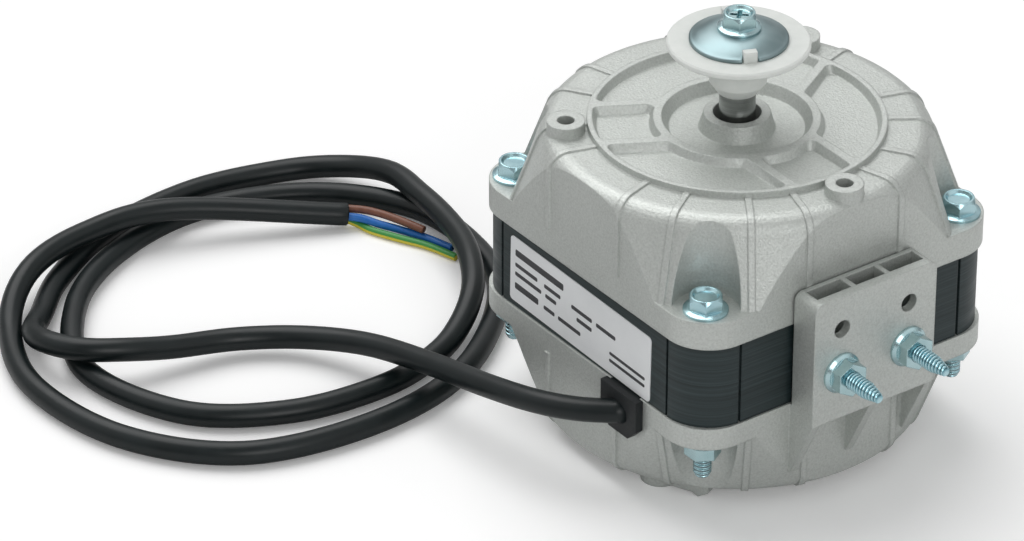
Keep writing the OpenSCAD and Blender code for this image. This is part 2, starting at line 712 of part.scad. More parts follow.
module stator_core() {
    root_r = stator_bore_r + shoe_t;
    leg_a = (shoe_angle - shading_span);
    color([0.13, 0.15, 0.17]) difference() {
        translate([0, 0, z_stack]) linear_extrude(stack_h) rounded_square(stack_w, stack_corner_r);
        difference() {
            translate([0, 0, z_stack - 1]) cylinder(r = yoke_r, h = stack_h + 2);
            for (q = [0 : 3]) rotate([0, 0, 90 * q]) {
                translate([stator_bore_r, -pole_w / 2, z_stack - 2])
                    cube([yoke_r, pole_w, stack_h + 4]);
                ring_sector(stator_bore_r - 1, root_r, -shoe_angle, shoe_angle,
                    z_stack - 2, z_stack_top + 2);
            }
        }
        translate([0, 0, z_stack - 1]) cylinder(r = stator_bore_r, h = stack_h + 2);
        for (q = [0 : 3]) rotate([0, 0, 90 * q]) {
            // Slot for the inner leg of the shading ring
            ring_sector(stator_bore_r - 1, root_r, leg_a, leg_a + shading_leg_angle,
                z_stack - 1, z_stack_top + 1);
            for (y = [-1, 1])
                translate([stack_w / 2 - notch_w, y * notch_y - notch_w / 2, z_stack - 1])
                    cube([2 * notch_w, notch_w, stack_h + 2]);
        }
        at_corners() translate([0, 0, z_stack - 1])
            cylinder(r = screw_r + screw_gap, h = stack_h + 2);
    }
}

module shading_ring(index) {
    r0 = stator_bore_r + 0.1;
    r1 = stator_bore_r + shoe_t;
    a0 = shoe_angle - shading_span;
    a1 = shoe_angle + shading_leg_angle;
    color([0.72, 0.42, 0.25]) rotate([0, 0, 90 * (index - 1)]) difference() {
        ring_sector(r0, r1, a0, a1, z_stack - shading_t, z_stack_top + shading_t);
        ring_sector(r0 - 1, r1 + 1, a0 + shading_leg_angle, shoe_angle, z_stack, z_stack_top);
    }
}

// Rectangular frame round a pole between two distances from the shaft
module pole_frame(x0, x1, inner_y, inner_z, outer_y, outer_z) {
    mid = (z_stack + z_stack_top) / 2;
    difference() {
        translate([x0, -outer_y, mid - outer_z]) cube([x1 - x0, 2 * outer_y, 2 * outer_z]);
        translate([x0 - 1, -inner_y, mid - inner_z])
            cube([x1 - x0 + 2, 2 * inner_y, 2 * inner_z]);
    }
}

module bobbin(index) {
    y0 = pole_w / 2 + bobbin_gap;
    z0 = stack_h / 2 + bobbin_gap;
    y1 = y0 + bobbin_wall;
    z1 = z0 + bobbin_wall;
    x1 = bobbin_x0 + bobbin_l;
    color([0.9, 0.88, 0.8]) rotate([0, 0, 90 * (index - 1)]) {
        pole_frame(bobbin_x0, x1, y0, z0, y1, z1);
        for (x = [bobbin_x0, x1 - bobbin_wall])
            pole_frame(x, x + bobbin_wall, y0, z0, y1 + coil_build, z1 + coil_build);
    }
}

module coil(index) {
    y0 = pole_w / 2 + bobbin_gap + bobbin_wall;
    z0 = stack_h / 2 + bobbin_gap + bobbin_wall;
    build = coil_build - coil_inset;
    color([0.62, 0.3, 0.14]) rotate([0, 0, 90 * (index - 1)])
        pole_frame(bobbin_x0 + bobbin_wall, bobbin_x0 + bobbin_l - bobbin_wall,
            y0, z0, y0 + build, z0 + build);
}

// Rotor

module at_bars() {
    for (i = [0 : bar_n - 1]) rotate([0, 0, 360 * i / bar_n])
        translate([rotor_r - bar_r - bar_inset, 0, z_stack]) children();
}

module rotor_core() {
    color([0.35, 0.36, 0.38]) difference() {
        translate([0, 0, z_stack]) cylinder(r = rotor_r, h = stack_h);
        translate([0, 0, z_stack - 1]) cylinder(r = shaft_r, h = stack_h + 2);
        at_bars() translate([0, 0, -1]) cylinder(r = bar_r, h = stack_h + 2, $fn = 24);
    }
}

module rotor_cage() {
    color([0.75, 0.76, 0.78]) {
        at_bars() translate([0, 0, -eps]) cylinder(r = bar_r, h = stack_h + 2 * eps, $fn = 24);
        flat_ring(end_ring_r0, rotor_r - cage_inset, z_stack - end_ring_t, z_stack);
        flat_ring(end_ring_r0, rotor_r - cage_inset, z_stack_top, z_stack_top + end_ring_t);
    }
}

module shaft() {
    end_gap = 1;
    z0 = z_rear_seat - seat_relief + end_gap;
    top_gap = 0.1;
    z1 = z_adapter - top_gap;
    chamfer = 0.5;
    thread_depth = 10;
    color([0.6, 0.61, 0.63]) difference() {
        union() {
            translate([0, 0, z0]) cylinder(r1 = shaft_r - chamfer, r2 = shaft_r, h = chamfer);
            translate([0, 0, z0 + chamfer]) cylinder(r = shaft_r, h = z1 - z0 - chamfer);
        }
        translate([0, 0, z1 - thread_depth]) cylinder(r = screw_r, h = thread_depth + 1);
    }
}

module front_spacer() {
    color("ivory") flat_ring(shaft_r, spacer_r, z_stack_top, z_front_bearing);
}

module rear_spacer() {
    color("ivory") flat_ring(shaft_r, spacer_r, z_rear_bearing + bearing_w, z_stack);
}

// Ball bearings, each standing on z0

race_r = ball_r + race_gap;
shoulder_gap = 1.65;
inner_ring_r = ball_pitch_r - shoulder_gap;
outer_ring_r = ball_pitch_r + shoulder_gap;
shield_t = 0.3;
shield_inset = 0.3;

module race(z0) {
    translate([0, 0, z0 + bearing_w / 2])
        rotate_extrude() translate([ball_pitch_r, 0]) circle(race_r);
}

module outer_ring(z0) {
    color([0.7, 0.71, 0.73]) difference() {
        flat_ring(outer_ring_r, bearing_r, z0, z0 + bearing_w);
        race(z0);
    }
}

module inner_ring(z0) {
    color([0.7, 0.71, 0.73]) difference() {
        flat_ring(shaft_r, inner_ring_r, z0, z0 + bearing_w);
        race(z0);
    }
}

module at_balls(z0) {
    for (i = [0 : ball_n - 1]) rotate([0, 0, 360 * i / ball_n])
        translate([ball_pitch_r, 0, z0 + bearing_w / 2]) children();
}

module balls(z0) {
    color("gainsboro") at_balls(z0) sphere(ball_r);
}

module ball_cage(z0) {
    half_t = 0.8;
    shield_gap = 0.35;
    crown = 0.4;
    low = z0 + shield_inset + shield_t + shield_gap;
    color([0.85, 0.83, 0.75]) difference() {
        flat_ring(ball_pitch_r - half_t, ball_pitch_r + half_t, low, z0 + bearing_w / 2 + crown);
        at_balls(z0) sphere(race_r);
    }
}

module shield(z) {
    inner_gap = 0.3;
    color([0.66, 0.67, 0.7]) flat_ring(inner_ring_r + inner_gap, outer_ring_r, z, z + shield_t);
}

// Wavy ring that pushes the rear bearing towards the rotor
module wave_spring() {
    edge_gap = 0.4;
    ring_w = 1.8;
    r1 = bearing_r - edge_gap;
    r0 = r1 - ring_w;
    steps = 48;
    play = 0.04;
    swing = (spring_h - spring_t) / 2 - play;
    mid = z_rear_seat + spring_h / 2;
    points = [for (i = [0 : steps - 1])
        let (a = 360 * i / steps, z = mid + swing * cos(spring_waves * a))
        for (q = [[r0, -1], [r1, -1], [r1, 1], [r0, 1]])
            [q[0] * cos(a), q[0] * sin(a), z + q[1] * spring_t / 2]];
    faces = [for (i = [0 : steps - 1], k = [0 : 3])
        let (a = 4 * i + k, b = 4 * i + (k + 1) % 4, n = 4 * steps)
        [a, (a + 4) % n, (b + 4) % n, b]];
    color([0.5, 0.52, 0.55]) polyhedron(points, faces);
}

// Fan adapter with its washer and screw

module fan_adapter() {
    edge = 0.4;
    key_inset = 0.1;
    key_r = washer_r - key_inset;
    cone_z = z_adapter - adapter_hub_l - adapter_cone_l;
    color([0.93, 0.93, 0.9]) difference() {
        union() {
            rotate_extrude() polygon([[0, cone_z], [adapter_cone_r, cone_z],
                [adapter_hub_r, cone_z + adapter_cone_l], [adapter_hub_r, z_adapter],
                [adapter_r - edge, z_adapter], [adapter_r, z_adapter + edge],
                [adapter_r, z_adapter_top - edge], [adapter_r - edge, z_adapter_top],
                [0, z_adapter_top]]);
            for (side = [0, 180]) rotate([0, 0, key_angle + side])
                translate([key_r - key_t, -key_w / 2, z_adapter])
                    cube([key_t, key_w, adapter_t + key_h]);
        }
        translate([0, 0, cone_z - 1]) cylinder(r = shaft_r, h = z_adapter - cone_z + 1);
        translate([0, 0, z_adapter - 1]) cylinder(r = screw_r, h = adapter_t + 2);
    }
}

module domed_washer() {
    rim = 0.9;
    rise = washer_dome_h - washer_t;
    seat_r = fan_screw_flange_r + 0.1;
    waist_r = (seat_r + washer_r - rim) / 2;
    waist_rise = 0.68 * rise;
    notch_gap = 0.15;
    color([0.66, 0.8, 0.85]) difference() {
        rotate_extrude() translate([0, z_adapter_top]) polygon([[screw_r, rise], [seat_r, rise],
            [waist_r, waist_rise], [washer_r - rim, 0], [washer_r, 0], [washer_r, washer_t],
            [washer_r - rim, washer_t], [waist_r, waist_rise + washer_t],
            [seat_r, rise + washer_t], [screw_r, rise + washer_t]]);
        for (side = [0, 180]) rotate([0, 0, key_angle + side])
            translate([washer_r - key_t - 2 * notch_gap, -key_w / 2 - notch_gap, z_adapter_top - 1])
                cube([key_t + 2, key_w + 2 * notch_gap, washer_dome_h + 2]);
    }
}

// Hexagon screw pointing down from z = 0, with a flanged and dished head
module hex_screw(length, flange_r, cross) {
    dish_r = 2.95;
    dish_floor_r = 2.4;
    dish_depth = 0.7;
    crown_r = 3.35;
    crown_lean = 0.65;
    hex_turn = 24;
    tip_l = 1;
    tip_r = 0.75 * screw_r;
    edge_t = 0.6 * head_flange_t;
    cross_l = 4;
    cross_w = 0.9;
    cross_depth = 1.6;
    top = head_flange_t + hex_h;
    difference() {
        union() {
            translate([0, 0, -length]) cylinder(r1 = tip_r, r2 = screw_r, h = tip_l);
            translate([0, 0, tip_l - length]) cylinder(r = screw_r, h = length - tip_l + eps);
            cylinder(r = flange_r, h = edge_t);
            translate([0, 0, edge_t])
                cylinder(r1 = flange_r, r2 = hex_r - 0.1, h = head_flange_t - edge_t);
            intersection() {
                rotate([0, 0, hex_turn]) cylinder(r = hex_r, h = top, $fn = 6);
                cylinder(r1 = crown_r + crown_lean * top, r2 = crown_r, h = top);
            }
        }
        translate([0, 0, top - dish_depth])
            cylinder(r1 = dish_floor_r, r2 = dish_r, h = dish_depth + eps);
        if (cross) for (a = [45, 135]) rotate([0, 0, a])
            translate([-cross_l / 2, -cross_w / 2, top - dish_depth - cross_depth])
                cube([cross_l, cross_w, cross_depth + dish_depth + 1]);
    }
}

module fan_screw() {
    length = 12;
    color([0.72, 0.83, 0.86]) translate([0, 0, z_fan_screw])
        hex_screw(length, fan_screw_flange_r, true);
}

module corner_bolts() {
    length = z_front_flange - z_rear_flange + nut_h + bolt_tip_l;
    color([0.62, 0.8, 0.86]) at_corners() translate([0, 0, z_front_flange])
        hex_screw(length, bolt_flange_r, false);
}

// Flanged nut on z = 0, growing upward
module flange_nut(flange_r) {
    edge_t = 0.6 * head_flange_t;
    difference() {
        union() {
            cylinder(r = flange_r, h = edge_t);
            translate([0, 0, edge_t]) cylinder(r1 = flange_r, r2 = hex_r, h = edge_t);
            cylinder(r = hex_r, h = nut_h, $fn = 6);
        }
        translate([0, 0, -1]) cylinder(r = screw_r, h = nut_h + 2);
    }
}

module corner_nuts() {
    flange_r = 4.4;
    color([0.66, 0.82, 0.88]) at_corners() translate([0, 0, z_rear_flange])
        mirror([0, 0, 1]) flange_nut(flange_r);
}

module at_bracket_screws(x) {
    for (y = [-1, 1]) translate([x, y * bracket_hole_y, z_bracket_screw])
        rotate([0, 90, 0]) children();
}

module bracket_screws() {
    hexagon_inset = 0.2;
    pilot_share = 0.55;
    flange_t = 0.8;
    inside_x = bracket_x - bracket_plate_t;
    length = bracket_plate_t + nut_h + bracket_tip_l - bracket_pilot_l;
    color([0.6, 0.78, 0.85]) at_bracket_screws(inside_x) {
        translate([0, 0, -flange_t]) cylinder(r = bracket_head_flange_r, h = flange_t);
        translate([0, 0, -bracket_head_h])
            cylinder(r = hex_r - hexagon_inset, h = bracket_head_h, $fn = 6);
        translate([0, 0, -eps]) cylinder(r = screw_r, h = length + eps);
        translate([0, 0, length - eps])
            cylinder(r1 = screw_r, r2 = pilot_share * screw_r, h = bracket_pilot_l + eps);
    }
}

module bracket_nuts() {
    flange_r = 4.7;
    color([0.66, 0.82, 0.88]) at_bracket_screws(bracket_x) flange_nut(flange_r);
}

// Label, gland, cable and inner wiring

module label() {
    corner_r = 1;
    z_label = (z_stack + z_stack_top) / 2 - label_drop;
    color("whitesmoke") translate([label_x, -stack_w / 2, z_label]) rotate([90, label_tilt, 0])
        linear_extrude(label_t) {
            square([label_w - 2 * corner_r, label_h], center = true);
            square([label_w, label_h - 2 * corner_r], center = true);
            for (x = [-1, 1], y = [-1, 1])
                translate([x * (label_w / 2 - corner_r), y * (label_h / 2 - corner_r)])
                    circle(corner_r);
        }
}

module cable_gland() {
    fit = 0.05;
    neck_w = gland_w - 2 * gland_lip - 2 * fit;
    color([0.1, 0.1, 0.11]) {
        translate([0, -half_w, 0]) rotate([90, 0, 0]) linear_extrude(gland_out)
            gland_outline(gland_w, z_gland_top, z_gland, gland_chamfer);
        translate([0, gland_in - half_w, 0]) rotate([90, 0, 0]) linear_extrude(gland_in + eps)
            gland_outline(neck_w, z_gland_top, z_gland + gland_lip + fit,
                gland_chamfer - gland_lip);
    }
}

module cable_sheath() {
    color([0.12, 0.13, 0.13]) tube(cable_route, cable_d, cable_rings, cable_sides);
}

module core(route, tint) {
    color(tint) tube(route, core_d, core_rings, core_sides);
}

// Lead from the gland's inner face to an end point inside the cover
module inner_lead(route, tint) {
    color(tint) tube(route, core_d, lead_rings, core_sides);
}

module earth_terminal() {
    barrel_l = 4;
    barrel_w = 3;
    barrel_overlap = 1;
    color([0.75, 0.73, 0.66]) difference() {
        union() {
            translate([earth_x, earth_y, z_earth]) cylinder(r = terminal_r, h = terminal_t);
            translate([earth_x - barrel_w / 2,
                earth_y - terminal_r - barrel_l + barrel_overlap, z_earth])
                cube([barrel_w, barrel_l, terminal_t]);
        }
        translate([earth_x, earth_y, z_earth - 1]) cylinder(r = earth_screw_r + 0.1, h = 3);
    }
}

module earth_screw() {
    head_r = 2.8;
    head_h = 1.8;
    slot_l = 3.2;
    slot_w = 0.7;
    slot_depth = 1;
    tip_gap = 0.5;
    z0 = z_earth + terminal_t;
    shank_l = earth_boss_h + terminal_t - tip_gap;
    color("gainsboro") difference() {
        union() {
            translate([earth_x, earth_y, z0]) cylinder(r = head_r, h = head_h);
            translate([earth_x, earth_y, z0 - shank_l]) cylinder(r = earth_screw_r, h = shank_l + eps);
        }
        for (a = [0, 90]) translate([earth_x, earth_y, z0 + head_h]) rotate([0, 0, a])
            translate([-slot_l / 2, -slot_w / 2, -slot_depth]) cube([slot_l, slot_w, 2 * slot_depth]);
    }
}

front_cover();
rear_cover();
stator_core();
for (i = [1 : 4]) {
    bobbin(i);
    coil(i);
    shading_ring(i);
}
rotor_core();
rotor_cage();
shaft();
front_spacer();
rear_spacer();
for (bearing = [["front", z_front_bearing], ["rear", z_rear_bearing]]) {
    name = bearing[0];
    z0 = bearing[1];
    outer_ring(z0);
    inner_ring(z0);
    balls(z0);
    ball_cage(z0);
    shield(z0 + shield_inset);
    shield(z0 + bearing_w - shield_inset - shield_t);
}
wave_spring();
fan_adapter();
domed_washer();
fan_screw();
corner_bolts();
corner_nuts();
bracket_screws();
bracket_nuts();
label();
cable_gland();
cable_sheath();
core(core_brown_route, "saddlebrown");  // core_brown
core(core_blue_route, "royalblue");  // core_blue
core(core_earth_route, "yellowgreen");  // core_earth
inner_lead(lead_brown_route, "saddlebrown");  // inner_lead_brown
inner_lead(lead_blue_route, "royalblue");  // inner_lead_blue
inner_lead(lead_earth_route, "yellowgreen");  // inner_lead_earth
earth_terminal();
earth_screw();
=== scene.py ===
import math

import bpy
from mathutils import Matrix, Vector

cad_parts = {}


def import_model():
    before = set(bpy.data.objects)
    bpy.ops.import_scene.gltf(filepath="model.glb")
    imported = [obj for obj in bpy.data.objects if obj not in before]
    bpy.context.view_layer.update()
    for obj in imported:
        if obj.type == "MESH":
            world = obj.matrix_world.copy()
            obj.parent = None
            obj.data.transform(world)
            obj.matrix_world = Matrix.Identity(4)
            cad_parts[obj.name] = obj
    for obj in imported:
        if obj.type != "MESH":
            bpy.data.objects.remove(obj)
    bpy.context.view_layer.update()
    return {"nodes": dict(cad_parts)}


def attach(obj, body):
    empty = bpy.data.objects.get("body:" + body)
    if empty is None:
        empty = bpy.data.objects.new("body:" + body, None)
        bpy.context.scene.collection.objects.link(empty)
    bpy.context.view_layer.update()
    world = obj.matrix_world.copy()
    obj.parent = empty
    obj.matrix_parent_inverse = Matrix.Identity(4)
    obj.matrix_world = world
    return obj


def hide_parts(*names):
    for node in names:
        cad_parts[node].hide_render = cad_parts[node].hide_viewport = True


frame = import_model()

nodes = frame["nodes"]
MM = 0.001


# Camera: placed from the photograph's own perspective of the square flanges
def make_camera():
    azimuth, elevation, roll = math.radians(54.15), math.radians(31.43), math.radians(0.07)
    focal_px, width_px, sensor = 6000.0, 1024.0, 36
    offset = Vector((48.71, -16.74, 1309.24))
    flange_top = Vector((0, 0, 53.75))
    back = Vector((math.sin(azimuth) * math.cos(elevation),
                   -math.cos(azimuth) * math.cos(elevation), math.sin(elevation)))
    right = Vector((math.cos(azimuth), math.sin(azimuth), 0))
    up = right.cross(-back)
    rolled_right = math.cos(roll) * right + math.sin(roll) * up
    rolled_up = -math.sin(roll) * right + math.cos(roll) * up
    turn = Matrix((rolled_right, rolled_up, back)).transposed()
    place = -(rolled_right * offset.x - rolled_up * offset.y - back * offset.z) + flange_top
    data = bpy.data.cameras.new("camera")
    data.sensor_width = sensor
    data.lens = sensor * focal_px / width_px
    data.clip_start = 0.05
    data.clip_end = 50
    camera = bpy.data.objects.new("camera", data)
    camera.matrix_world = Matrix.Translation(place * MM) @ turn.to_4x4()
    bpy.context.scene.collection.objects.link(camera)
    bpy.context.scene.camera = camera


make_camera()


# Shader helpers
def new_material(name):
    m = bpy.data.materials.new(name)
    m.use_nodes = True
    return m, m.node_tree, m.node_tree.nodes["Principled BSDF"]


def add(tree, kind, inputs=None, **settings):
    """New shader node; an input is either a value or the socket that feeds it."""
    n = tree.nodes.new(kind)
    for key, value in settings.items():
        setattr(n, key, value)
    for key, value in (inputs or {}).items():
        if isinstance(value, bpy.types.NodeSocket):
            tree.links.new(value, n.inputs[key])
        else:
            n.inputs[key].default_value = value
    return n


def object_coordinates(tree, scale=(1, 1, 1)):
    co = add(tree, "ShaderNodeTexCoord")
    return add(tree, "ShaderNodeMapping",
               {"Vector": co.outputs["Object"], "Scale": scale}).outputs[0]


def noise(tree, where, scale, detail=3.0, rough=0.6):
    return add(tree, "ShaderNodeTexNoise", {"Vector": where, "Scale": scale, "Detail": detail,
                                            "Roughness": rough}).outputs["Fac"]


def ramp(tree, factor, stops):
    n = add(tree, "ShaderNodeValToRGB", {"Fac": factor})
    e = n.color_ramp.elements
    e[0].position, e[0].color = stops[0][0], (*stops[0][1], 1)
    e[1].position, e[1].color = stops[-1][0], (*stops[-1][1], 1)
    for position, colour in stops[1:-1]:
        s = e.new(position)
        s.color = (*colour, 1)
    return n.outputs["Color"]


def greys(*stops):
    return [(position, (level, level, level)) for position, level in stops]


def spread(tree, factor, low, high):
    """Stretch the middle of a noise to the range from low to high."""
    return add(tree, "ShaderNodeMapRange", {"Value": factor, "From Min": 0.3, "From Max": 0.7,
                                            "To Min": low, "To Max": high}).outputs["Result"]


def mixed(tree, factor, a, b):
    n = add(tree, "ShaderNodeMix", data_type="RGBA")
    for key, value in (("Factor", factor), ("A", a), ("B", b)):
        sockets = [s for s in n.inputs if s.name == key and s.enabled]
        if isinstance(value, bpy.types.NodeSocket):
            tree.links.new(value, sockets[0])
        else:
            sockets[0].default_value = value if key == "Factor" else (*value, 1)
    return [s for s in n.outputs if s.enabled][0]


def bumped(tree, bsdf, height, strength, distance, round_edges=0.0):
    values = {"Height": height, "Strength": strength, "Distance": distance}
    if round_edges:
        values["Normal"] = add(tree, "ShaderNodeBevel", {"Radius": round_edges},
                               samples=4).outputs["Normal"]
    n = add(tree, "ShaderNodeBump", values)
    tree.links.new(n.outputs["Normal"], bsdf.inputs["Normal"])


# Materials
def cast_alloy():
    m, t, b = new_material("cast_alloy")
    at = object_coordinates(t)
    grain = noise(t, at, 1900, 3, 0.65)
    flecks = noise(t, at, 3600, 1, 0.4)
    cloud = noise(t, at, 45, 4, 0.6)
    fine = ramp(t, grain, [(0.32, (0.42, 0.442, 0.42)), (0.5, (0.54, 0.565, 0.54)),
                           (0.68, (0.65, 0.676, 0.648))])
    shade = ramp(t, cloud, [(0.25, (0.53, 0.555, 0.532)), (0.75, (0.6, 0.625, 0.6))])
    t.links.new(mixed(t, 0.5, fine, shade), b.inputs["Base Color"])
    t.links.new(spread(t, flecks, 0.32, 0.52), b.inputs["Roughness"])
    b.inputs["Metallic"].default_value = 0.55
    bumped(t, b, grain, 0.5, 0.0003, 0.0005)
    return m


def laminations():
    m, t, b = new_material("lamination_steel")
    sheets = noise(t, object_coordinates(t, (14, 14, 2300)), 1, 2, 0.5)
    smear = noise(t, object_coordinates(t, (60, 60, 380)), 1, 3, 0.6)
    tone = ramp(t, sheets, [(0.3, (0.008, 0.016, 0.017)), (0.55, (0.018, 0.032, 0.034)),
                            (0.75, (0.034, 0.054, 0.057))])
    t.links.new(mixed(t, spread(t, smear, 0.0, 0.3), tone, (0.03, 0.042, 0.045)),
                b.inputs["Base Color"])
    t.links.new(spread(t, smear, 0.36, 0.52), b.inputs["Roughness"])
    b.inputs["Metallic"].default_value = 0.2
    bumped(t, b, sheets, 0.55, 0.00012, 0.0004)
    return m


def zinc(name, tones, thread=None, rough=0.17):
    m, t, b = new_material(name)
    at = object_coordinates(t)
    cloud = noise(t, at, 240, 2, 0.5)
    t.links.new(ramp(t, cloud, [(0.3, tones[0]), (0.7, tones[1])]), b.inputs["Base Color"])
    t.links.new(spread(t, cloud, rough, rough * 1.4), b.inputs["Roughness"])
    b.inputs["Metallic"].default_value = 1.0
    if thread is None:
        scuff = noise(t, at, 1500, 2, 0.5)
        bumped(t, b, scuff, 0.06, 0.00006, 0.00035)
        return m
    # Thread on the part of the shank below this height
    top, pitch = thread
    waves_per_scale = 3.183
    wave = add(t, "ShaderNodeTexWave", {"Vector": at, "Scale": 1 / pitch / waves_per_scale,
                                        "Distortion": 0.0},
               wave_type="BANDS", bands_direction="Z", wave_profile="SIN").outputs["Fac"]
    split = add(t, "ShaderNodeSeparateXYZ", {"Vector": at})
    below = add(t, "ShaderNodeMath", {0: split.outputs["Z"], 1: top}, operation="LESS_THAN")
    grooves = add(t, "ShaderNodeMath", {0: wave, 1: below.outputs[0]}, operation="MULTIPLY")
    bumped(t, b, grooves.outputs[0], 1.0, 0.0005, 0.0003)
    return m


def threads():
    """Zinc with painted shade: darker in a thread's roots and lighter on its crests; the mesh holds
    the crest's height as its UV.
    """
    m, t, b = new_material("zinc_plate_threads_painted_shade")
    uv = add(t, "ShaderNodeUVMap", uv_map="tube")
    height = add(t, "ShaderNodeSeparateXYZ", {"Vector": uv.outputs["UV"]}).outputs["X"]
    # Painted shade: dark colour in the thread roots, rising to a light colour on the crests
    t.links.new(ramp(t, height, [(0.0, (0.07, 0.17, 0.2)), (0.45, (0.24, 0.46, 0.53)),
                                 (1.0, (0.56, 0.8, 0.86))]), b.inputs["Base Color"])
    b.inputs["Roughness"].default_value = 0.26
    b.inputs["Metallic"].default_value = 1.0
    return m


def plain(name, dark, light, rough, metal=0.0, scale=500, bump=0.1, edge=0.0002, **sockets):
    """Even material with a faint mottle; further sockets are set by their names."""
    m, t, b = new_material(name)
    at = object_coordinates(t)
    f = noise(t, at, scale, 3, 0.6)
    t.links.new(ramp(t, f, [(0.3, dark), (0.7, light)]), b.inputs["Base Color"])
    t.links.new(spread(t, f, rough * 0.88, min(rough * 1.15, 1)), b.inputs["Roughness"])
    b.inputs["Metallic"].default_value = metal
    for key, value in sockets.items():
        b.inputs[key.replace("_", " ")].default_value = value
    bumped(t, b, f, bump, 0.0001, edge)
    return m


def ground_steel():
    m, t, b = new_material("shaft_steel")
    rings = noise(t, object_coordinates(t, (30, 30, 2600)), 1, 2, 0.5)
    t.links.new(ramp(t, rings, [(0.3, (0.3, 0.31, 0.31)), (0.7, (0.42, 0.43, 0.42))]),
                b.inputs["Base Color"])
    b.inputs["Roughness"].default_value = 0.24
    b.inputs["Metallic"].default_value = 1.0
    bumped(t, b, rings, 0.1, 0.00003)
    return m


def winding():
    m, t, b = new_material("enamelled_wire")
    at = object_coordinates(t)
    turns = add(t, "ShaderNodeTexWave", {"Vector": at, "Scale": 640.0, "Distortion": 0.6,
                                         "Detail": 1.0}, bands_direction="DIAGONAL").outputs["Fac"]
    t.links.new(ramp(t, turns, [(0.1, (0.12, 0.035, 0.012)), (0.8, (0.42, 0.16, 0.06))]),
                b.inputs["Base Color"])
    b.inputs["Roughness"].default_value = 0.3
    bumped(t, b, turns, 0.8, 0.0002)
    return m


def earth_insulation():
    """Yellow on one half of the core's round and green on the other."""
    m, t, b = new_material("core_green_yellow")
    uv = add(t, "ShaderNodeUVMap", uv_map="tube")
    parts = add(t, "ShaderNodeSeparateXYZ", {"Vector": uv.outputs["UV"]})
    half = add(t, "ShaderNodeMath", {0: parts.outputs["X"], 1: 0.5}, operation="GREATER_THAN")
    t.links.new(mixed(t, half.outputs[0], (0.74, 0.63, 0.05), (0.05, 0.3, 0.06)),
                b.inputs["Base Color"])
    b.inputs["Roughness"].default_value = 0.36
    f = noise(t, object_coordinates(t), 700)
    bumped(t, b, f, 0.08, 0.0001)
    return m


alloy = cast_alloy()
dark_steel = laminations()
blue_zinc = zinc("zinc_plate", ((0.44, 0.63, 0.66), (0.53, 0.71, 0.74)))
bolt_zinc = zinc("zinc_plate_bolts", ((0.42, 0.64, 0.7), (0.52, 0.74, 0.79)),
                 thread=(0.0219, 0.001))
thread_zinc_painted_shade = threads()
washer_zinc = zinc("zinc_plate_washer", ((0.25, 0.34, 0.355), (0.3, 0.385, 0.4)), rough=0.34)
white_nylon = plain("white_nylon", (0.7, 0.73, 0.7), (0.76, 0.785, 0.755), 0.4, scale=260,
                    bump=0.06, edge=0.0003, Subsurface_Weight=0.35, Subsurface_Scale=0.004,
                    Subsurface_Radius=(1, 1, 1))
rubber = plain("gland_rubber", (0.007, 0.009, 0.01), (0.012, 0.015, 0.016), 0.5, scale=900,
               bump=0.25, edge=0.0005, Specular_IOR_Level=0.35)
sheath = plain("sheath_black", (0.0035, 0.007, 0.0075), (0.006, 0.011, 0.0118), 0.36, scale=160,
               bump=0.1, edge=0.0, Specular_IOR_Level=0.36)
label_film = plain("label_film", (0.82, 0.84, 0.85), (0.87, 0.89, 0.9), 0.34, metal=0.1,
                   scale=90, bump=0.03, edge=0.0)
print_grey = plain("label_print", (0.035, 0.036, 0.04), (0.055, 0.056, 0.06), 0.5, scale=700,
                   bump=0.02, edge=0.0)
brown = plain("core_brown", (0.17, 0.062, 0.035), (0.22, 0.085, 0.05), 0.38, scale=600,
              bump=0.06, edge=0.0)
blue = plain("core_blue", (0.01, 0.13, 0.47), (0.016, 0.17, 0.56), 0.36, scale=600,
             bump=0.06, edge=0.0)
earth = earth_insulation()
bearing_steel = plain("bearing_steel", (0.5, 0.5, 0.51), (0.62, 0.62, 0.63), 0.26, 1.0, 900)
plain_steel = plain("plain_steel", (0.34, 0.34, 0.35), (0.46, 0.46, 0.46), 0.42, 1.0, 700)
rotor_alloy = plain("rotor_alloy", (0.5, 0.5, 0.51), (0.62, 0.62, 0.61), 0.45, 0.8, 800, 0.3)
copper = plain("copper", (0.62, 0.26, 0.13), (0.78, 0.38, 0.2), 0.3, 1.0, 500)
tin = plain("tin_plate", (0.52, 0.5, 0.46), (0.62, 0.6, 0.56), 0.34, 1.0, 600)
bobbin_plastic = plain("bobbin_plastic", (0.62, 0.58, 0.47), (0.72, 0.68, 0.57), 0.5, 0, 400)
cage_plastic = plain("cage_plastic", (0.6, 0.55, 0.4), (0.68, 0.63, 0.48), 0.5, 0, 500)
wire = winding()
steel_shaft = ground_steel()

looks = {"front_cover": alloy, "rear_cover": alloy, "stator_core": dark_steel,
         "rotor_core": plain_steel, "rotor_cage": rotor_alloy, "shaft": steel_shaft,
         "front_spacer": cage_plastic, "rear_spacer": cage_plastic, "wave_spring": plain_steel,
         "fan_adapter": white_nylon, "domed_washer": blue_zinc, "fan_screw": blue_zinc,
         "corner_bolts": bolt_zinc, "corner_nuts": blue_zinc, "bracket_nuts": blue_zinc,
         "bracket_screws": blue_zinc, "label": label_film, "cable_gland": rubber,
         "cable_sheath": sheath, "core_brown": brown, "core_blue": blue, "core_earth": earth,
         "inner_lead_brown": brown, "inner_lead_blue": blue, "inner_lead_earth": earth,
         "earth_terminal": tin, "earth_screw": bearing_steel}
for i in range(1, 5):
    looks[f"bobbin_{i}"] = bobbin_plastic
    looks[f"coil_{i}"] = wire
    looks[f"shading_ring_{i}"] = copper
for end in ("front", "rear"):
    for piece in ("outer_ring", "inner_ring", "balls", "upper_shield", "lower_shield"):
        looks[f"{end}_bearing_{piece}"] = bearing_steel
    looks[f"{end}_bearing_cage"] = cage_plastic
for name, obj in nodes.items():
    obj.data.materials.clear()
    obj.data.materials.append(looks[name])


